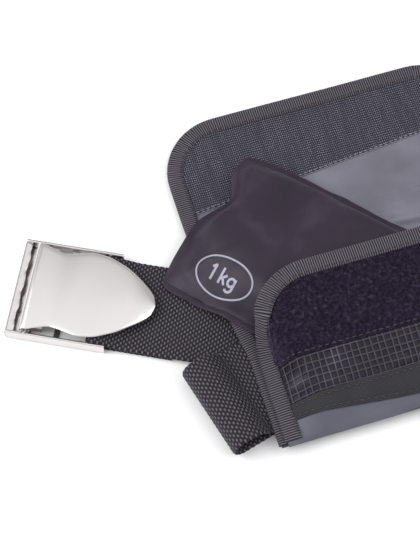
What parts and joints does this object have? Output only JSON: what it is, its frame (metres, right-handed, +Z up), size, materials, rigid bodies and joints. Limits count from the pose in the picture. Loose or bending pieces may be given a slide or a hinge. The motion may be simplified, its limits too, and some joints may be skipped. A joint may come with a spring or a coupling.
{
  "type": "dive weight belt",
  "caption": "Webbing belt with a steel cam buckle and a band of flapped cloth pockets that hold soft shot pouches.",
  "frame": {"origin": "middle of the belt's footprint, on the surface it lies on", "axes": "+X along the band from the buckle to the free tail, +Y from the pocket bottoms to the flaps, +Z up"},
  "size_m": [0.9244, 0.1934, 0.0348],
  "materials": {
    "binding": "ribbed grosgrain",
    "buckle_steel": "satin",
    "cam_steel": "satin",
    "hook_tape": "hook tape",
    "lining_nylon": "satin nylon",
    "loop_velour": "brushed loop",
    "mesh": "open square mesh",
    "mesh_backing": "plain",
    "outer_nylon": "woven",
    "pin_steel": "satin",
    "pouch_fabric": "coated nylon",
    "sealed_tip": "melted edge",
    "shot": "loose grains",
    "strip_nylon": "smooth nylon",
    "tape": "plain tape",
    "webbing": "woven"
  },
  "bodies": {
    "band": {"back_band": "outer_nylon", "back_sleeve": "outer_nylon", "belt_webbing": "webbing", "buckle_frame": "buckle_steel", "buckle_webbing": "webbing", "hinge_pin": "pin_steel", "pocket_1_binding": "binding", "pocket_1_bottom_strip": "strip_nylon", "pocket_1_loop_panel": "loop_velour", "pocket_1_mesh_backing": "mesh_backing", "pocket_1_mesh_window": "mesh", "pocket_1_tape_band": "tape", "pocket_2_binding": "binding", "pocket_2_bottom_strip": "strip_nylon", "pocket_2_loop_panel": "loop_velour", "pocket_2_mesh_backing": "mesh_backing", "pocket_2_mesh_window": "mesh", "pocket_2_tape_band": "tape", "pocket_2_top_wall": "outer_nylon", "pocket_3_binding": "binding", "pocket_3_bottom_strip": "strip_nylon", "pocket_3_loop_panel": "loop_velour", "pocket_3_mesh_backing": "mesh_backing", "pocket_3_mesh_window": "mesh", "pocket_3_tape_band": "tape", "pocket_3_top_wall": "outer_nylon", "pouch_2_cover": "pouch_fabric", "pouch_2_shot": "shot", "pouch_3_cover": "pouch_fabric", "pouch_3_shot": "shot", "strap_bar": "pin_steel", "webbing_loop": "webbing", "webbing_tip": "sealed_tip"},
    "lever": {"buckle_lever": "buckle_steel", "lever_cam": "cam_steel"},
    "pouch_1": {"pouch_1_cover": "pouch_fabric", "pouch_1_shot": "shot"},
    "flap_1": {"flap_1_binding": "binding", "flap_1_hook_strip": "hook_tape", "flap_1_lining": "lining_nylon", "flap_1_panel": "outer_nylon"},
    "flap_2": {"flap_2_binding": "binding", "flap_2_hook_strip": "hook_tape", "flap_2_lining": "lining_nylon", "flap_2_panel": "outer_nylon"},
    "flap_3": {"flap_3_binding": "binding", "flap_3_hook_strip": "hook_tape", "flap_3_lining": "lining_nylon", "flap_3_panel": "outer_nylon"}
  },
  "joints": [
    {"name": "lever_hinge", "type": "hinge", "parent": "band", "child": "lever", "pos_m": [-0.44151, 0.02474, 0.0062], "axis": [-0.454, -0.891, 0], "range_deg": [0, 100]},
    {"name": "flap_1_fold", "type": "hinge", "parent": "band", "child": "flap_1", "pos_m": [-0.26277, 0.01375, 0.004], "axis": [1, 0, 0], "range_deg": [-85, 0]},
    {"name": "pouch_1_pull", "type": "slide", "parent": "band", "child": "pouch_1", "axis": [0, 1, 0], "range_m": [0, 0.09]},
    {"name": "flap_2_fold", "type": "hinge", "parent": "band", "child": "flap_2", "pos_m": [-0.09077, 0.00975, 0.031], "axis": [-1, 0, 0], "range_deg": [0, 150]},
    {"name": "flap_3_fold", "type": "hinge", "parent": "band", "child": "flap_3", "pos_m": [0.07923, 0.00975, 0.031], "axis": [-1, 0, 0], "range_deg": [0, 150]}
  ]
}
